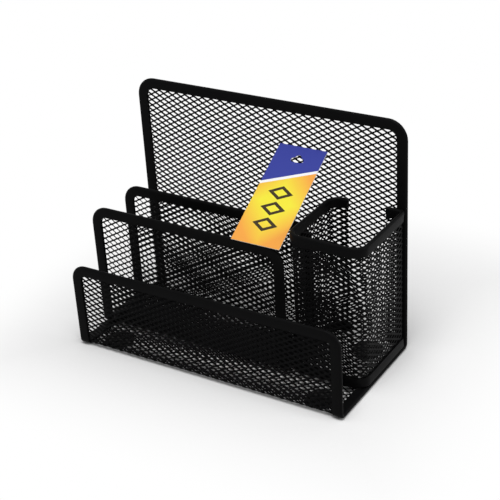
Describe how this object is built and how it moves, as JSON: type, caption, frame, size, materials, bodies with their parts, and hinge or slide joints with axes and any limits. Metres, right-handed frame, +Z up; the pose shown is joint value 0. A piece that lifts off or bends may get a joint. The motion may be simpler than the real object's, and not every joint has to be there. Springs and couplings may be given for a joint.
{
  "type": "desk organizer",
  "caption": "Free-standing desk organizer of black expanded-steel mesh in folded rims, with letter slots open at one end, a pen cup at the back corner and a loose card tag.",
  "frame": {"origin": "on the table under the middle of the organizer's outer box, at the underside of the foot pads", "axes": "+X across the slots to the pen cup's side, +Y from the front wall to the back wall, +Z up"},
  "size_m": [0.2, 0.0936, 0.161],
  "materials": {
    "black_mesh": "black powder coat on expanded steel",
    "black_rim": "satin black powder coat on folded steel strip",
    "foot_pad": "black foam rubber",
    "tag_card": "printed card, satin"
  },
  "bodies": {
    "organizer": {"front_mesh": "black_mesh", "base_mesh": "black_mesh", "back_mesh": "black_mesh", "front_divider_mesh": "black_mesh", "divider_floor_mesh": "black_mesh", "rear_divider_mesh": "black_mesh", "cup_left_mesh": "black_mesh", "cup_front_mesh": "black_mesh", "cup_right_mesh": "black_mesh", "cup_front_left_bend": "black_mesh", "cup_front_right_bend": "black_mesh", "cup_left_flange": "black_mesh", "cup_right_flange": "black_mesh", "front_rim": "black_rim", "back_rim": "black_rim", "front_divider_rim": "black_rim", "rear_divider_rim": "black_rim", "base_rim_left": "black_rim", "base_rim_right": "black_rim", "divider_floor_rim_left": "black_rim", "divider_floor_rim_right": "black_rim", "cup_top_rim": "black_rim", "cup_bottom_rim": "black_rim", "foot_pads": "foot_pad"},
    "tag": {"hang_tag": "tag_card"}
  },
  "joints": [
    {"name": "tag_lift", "type": "slide", "parent": "organizer", "child": "tag", "axis": [0, -0.515, 0.8572], "range_m": [0, 0.06]}
  ]
}
